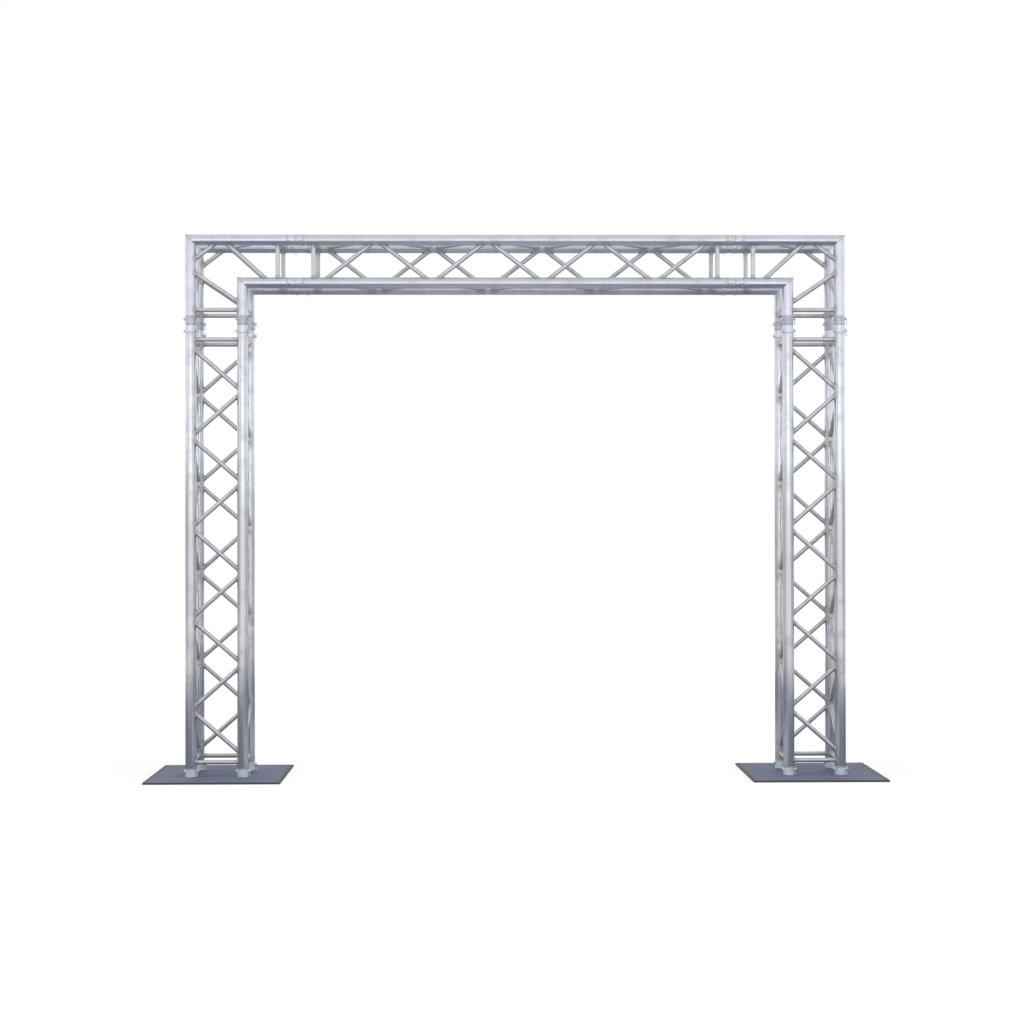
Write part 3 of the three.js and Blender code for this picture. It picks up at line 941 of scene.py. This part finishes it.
def platePiece(side):
    # a flat plate with rounded corners, edges that are a little broken and rubbed, and countersunk holes
    node = f"{side}_base_plate"
    low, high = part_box(node)
    middle = (low + high) / 2
    half = (high.x - low.x) / 2
    shape = newShape()
    wearLayer = shape.verts.layers.float["edgeWear"]

    def outline(inset, z, wear):
        radius = max(plateSizes["cornerRadius"] - inset, plateSizes["innerRadius"])
        flat = half - inset - radius
        points = []
        for quarter, (sx, sy) in enumerate(((1, 1), (-1, 1), (-1, -1), (1, -1))):
            for step in range(plateSizes["cornerSteps"] + 1):
                angle = math.pi / 2 * (quarter + step / plateSizes["cornerSteps"])
                x = middle.x + sx * flat + radius * math.cos(angle)
                points.append(Vector((x, sy * flat + radius * math.sin(angle), z)))
        ring = addRing(shape, points)
        for vert in ring:
            vert[wearLayer] = wear
        return ring

    edge, wearRings = plateSizes["edge"], plateSizes["wear"]
    rings = [outline(inset, low.z, wear) for inset, wear in wearRings[::-1]]
    rings += [outline(edge, low.z, 1), outline(0, low.z + edge, 1)]
    rings += [outline(0, high.z - edge, 1), outline(edge, high.z, 1)]
    rings += [outline(inset, high.z, wear) for inset, wear in wearRings]
    joinChain(shape, rings)

    gap, steps = plateSizes["holeGap"], plateSizes["holeSteps"]
    head, shank = boltSizes["headRadius"] + gap, boltSizes["shankRadius"] + gap
    seat = low.z + boltSizes["recess"]
    sink = ((head, low.z), (head, seat), (shank, seat + boltSizes["headHeight"]), (shank, high.z))
    lowLoops, highLoops = [rings[0]], [rings[-1]]
    for place in columnPlaces[side]:
        x, y = boltPlace(side, place)
        hole = [
            addRing(shape, roundPoints(Vector((x, y, z)), alongBeam, depthWay, radius, steps))
            for radius, z in sink
        ]
        joinChain(shape, hole)
        lowLoops.append(hole[0])
        highLoops.append(hole[-1])
    for loops in (lowLoops, highLoops):  # the flat faces, round their holes
        edges = [
            shape.edges.get((loop[i], loop[(i + 1) % len(loop)])) for loop in loops for i in range(len(loop))
        ]
        bmesh.ops.triangle_fill(shape, use_beauty=True, use_dissolve=False, edges=edges)
    addPiece(shape, f"{node}_painted", [platePaint], [node])


for side in columnPlaces:
    platePiece(side)
    for place in columnPlaces[side]:
        boltPiece(f"{side}_base_bolt_{place}", *boltPlace(side, place))
print("plates and bolts built")


# Studio: a white background, a pale floor, one wide soft lamp in front and one overhead. Grey cards
# that only reflections show stand round the back, lie on the floor and hang overhead, and shade the
# bright metal. Sizes and places are in metres.
studio = {
    "floor": {
        "size": (80, 80),
        "colours": ("#dcdcdc", "#d9d9d9"),
        "mottle": {"size": 1.6667, "detail": 2, "low": 0, "high": 1, "most": 1},
        "roughness": 0.9,
        "glow": (0.4, 0.65),  # near the arch, and far off, where it runs into the background
        "fade": (2, 8),
    },
    "diffuseWorld": 0.6,
    "cardSteps": 64,
    "frontLamp": {
        "place": (0, -9.4, 2.15),
        "target": (0, 0, 2.15),
        "size": (11, 1.6),
        "power": 42,
        "colour": "#f4f8ff",
        "reflected": True,
    },
    "topLamp": {
        "place": (0, -0.6, 5.4),
        "target": (0, -0.6, 0),
        "size": (8, 5),
        "power": 150,
        "colour": "#ffffff",
        "reflected": False,
    },
    # a card's shades stand at shares of its reach, outwards or upwards
    "cloth": {"radii": (6, 5.3), "reach": (2, 5.2, 0), "shades": ((0.35, "#babcc2"), (0.6, "#7f8394"))},
    "ceiling": {"size": (14, 16), "height": 5.8, "reach": (0, 0, 0), "shades": ((0, "#ebecee"),)},
    "surround": {
        "radii": (6.6, 5.8),
        "height": 2.6,
        "opening": 96,  # degrees, towards the front
        "strength": 1.3,
        "reach": (0, 0, 2.6),
        "shades": ((0.1, "#d5d4ce"), (0.22, "#bcbcbc"), (0.5, "#bcbcbc"), (0.68, "#f4f7fc")),
    },
}


def backgroundRays(tree):
    # 1 for the rays that show the background: those from the camera, and those that metal reflects
    path = addNode(tree, "ShaderNodeLightPath")
    seen = addNode(
        tree, "ShaderNodeMath", {"operation": "MAXIMUM"},
        {0: path.outputs["Is Camera Ray"], 1: path.outputs["Is Glossy Ray"]},
    )
    return addNode(
        tree, "ShaderNodeMath", {"operation": "MAXIMUM"}, {0: seen, 1: path.outputs["Is Transmission Ray"]}
    )


world = bpy.data.worlds.new("studio")
bpy.context.scene.world = world
world.use_nodes = True
tree = world.node_tree
brightness = addNode(
    tree, "ShaderNodeMapRange", {"To Min": studio["diffuseWorld"], "To Max": 1},
    {"Value": backgroundRays(tree)},
)
background = tree.nodes["Background"]
background.inputs["Color"].default_value = (1, 1, 1, 1)
linkInputs(tree, background, {"Strength": brightness})


def stagePiece(name, corners, faces, material):
    mesh = bpy.data.meshes.new(name)
    mesh.from_pydata(corners, [], faces)
    mesh.materials.append(material)
    thing = bpy.data.objects.new(name, mesh)
    bpy.context.scene.collection.objects.link(thing)
    return thing


def paleFloor():
    # Painted studio floor. Part of its brightness is its own for the rays that show the background,
    # so that it runs into the white and still takes a soft shadow near the arch
    look = studio["floor"]
    material, tree, surface = newMaterial("paleFloor", 0)
    surface.inputs["Roughness"].default_value = look["roughness"]
    surface.inputs["Specular IOR Level"].default_value = 0
    surface.inputs["Emission Color"].default_value = (1, 1, 1, 1)
    place = addNode(tree, "ShaderNodeTexCoord").outputs["Object"]
    colour, _ = mottledColour(tree, place, look["mottle"], look["colours"])
    distance = addNode(tree, "ShaderNodeVectorMath", {"operation": "LENGTH"}, {0: place})
    near, far = look["fade"]
    own = addNode(
        tree, "ShaderNodeMapRange",
        {"From Min": near, "From Max": far, "To Min": look["glow"][0], "To Max": look["glow"][1]},
        {"Value": distance.outputs["Value"]},
    )
    glow = addNode(tree, "ShaderNodeMath", {"operation": "MULTIPLY"}, {0: own, 1: backgroundRays(tree)})
    linkInputs(tree, surface, {"Base Color": colour.outputs[mixResult], "Emission Strength": glow})
    return material


def greyCard(name, corners, faces, look):
    material = bpy.data.materials.new(name)
    material.use_nodes = True
    tree = material.node_tree
    tree.nodes.clear()
    place = addNode(tree, "ShaderNodeTexCoord").outputs["Object"]
    along = addNode(tree, "ShaderNodeVectorMath", {"operation": "DIVIDE", 1: look["reach"]}, {0: place})
    share = addNode(tree, "ShaderNodeVectorMath", {"operation": "LENGTH"}, {0: along})
    stops = [(position, toLinear(shade)) for position, shade in look["shades"]]
    tone = addNode(tree, "ShaderNodeValToRGB", {"stops": stops}, {"Fac": share.outputs["Value"]})
    glow = addNode(tree, "ShaderNodeEmission", {"Strength": look.get("strength", 1)}, {"Color": tone})
    addNode(tree, "ShaderNodeOutputMaterial", links={"Surface": glow})
    card = stagePiece(name, corners, faces, material)
    for rays in ("camera", "diffuse", "shadow", "transmission", "volume_scatter"):
        setattr(card, f"visible_{rays}", False)


def sheetCorners(size, z):
    return [(x * size[0] / 2, y * size[1] / 2, z) for x, y in ((-1, -1), (1, -1), (1, 1), (-1, 1))]


def ovalPoints(radii, z, start, end, steps):
    angles = [start + (end - start) * i / steps for i in range(steps + 1)]
    return [(radii[0] * math.cos(a), radii[1] * math.sin(a), z) for a in angles]


cloth, ceiling, surround = studio["cloth"], studio["ceiling"], studio["surround"]
steps = studio["cardSteps"]
stagePiece("floor", sheetCorners(studio["floor"]["size"], 0), [(0, 1, 2, 3)], paleFloor())
clothCorners = ovalPoints(cloth["radii"], 1 * mm, 0, 2 * math.pi, steps)[:-1]
greyCard("greyCloth", clothCorners, [tuple(range(steps))], cloth)
greyCard("greyCeiling", sheetCorners(ceiling["size"], ceiling["height"]), [(0, 1, 2, 3)], ceiling)
half = math.radians(surround["opening"] / 2)
start, end = half - math.pi / 2, math.pi * 3 / 2 - half
wall = ovalPoints(surround["radii"], 0, start, end, steps)
wall += ovalPoints(surround["radii"], surround["height"], start, end, steps)
wallFaces = [(i, i + 1, i + steps + 2, i + steps + 1) for i in range(steps)]
greyCard("greySurround", wall, wallFaces, surround)


def softLamp(name):
    look = studio[name]
    light = bpy.data.lights.new(name, "AREA")
    light.shape = "RECTANGLE"
    light.size, light.size_y = look["size"]
    light.energy = look["power"]
    light.color = toLinear(look["colour"])[:3]
    lamp = bpy.data.objects.new(name, light)
    lamp.location = look["place"]
    lamp.visible_glossy = look["reflected"]
    way = Vector(look["target"]) - Vector(look["place"])
    lamp.rotation_euler = way.to_track_quat("-Z", "Y").to_euler()
    bpy.context.scene.collection.objects.link(lamp)


softLamp("frontLamp")
softLamp("topLamp")  # not reflected: the metal shows the white background there

# The photograph's viewpoint, found from the arch's corners and joints in it
view = {
    "place": (-0.1508, -8.4896, 1.1605),
    "pitch": 0.317,  # degrees up from level
    "yaw": 0.903,  # degrees to the right
    "roll": -0.091,
    "lens": 64.75,
    "sensor": 36,
}
cameraData = bpy.data.cameras.new("camera")
cameraData.lens = view["lens"]
cameraData.sensor_width = view["sensor"]
cameraData.sensor_fit = "HORIZONTAL"
camera = bpy.data.objects.new("camera", cameraData)
camera.matrix_world = (
    Matrix.Translation(view["place"])
    @ Matrix.Rotation(math.radians(-view["yaw"]), 4, "Z")
    @ Matrix.Rotation(math.radians(90 + view["pitch"]), 4, "X")
    @ Matrix.Rotation(math.radians(view["roll"]), 4, "Z")
)
bpy.context.scene.collection.objects.link(camera)
bpy.context.scene.camera = camera
bpy.context.scene.view_settings.view_transform = "Standard"
print("studio and camera set")

bpy.context.view_layer.update()
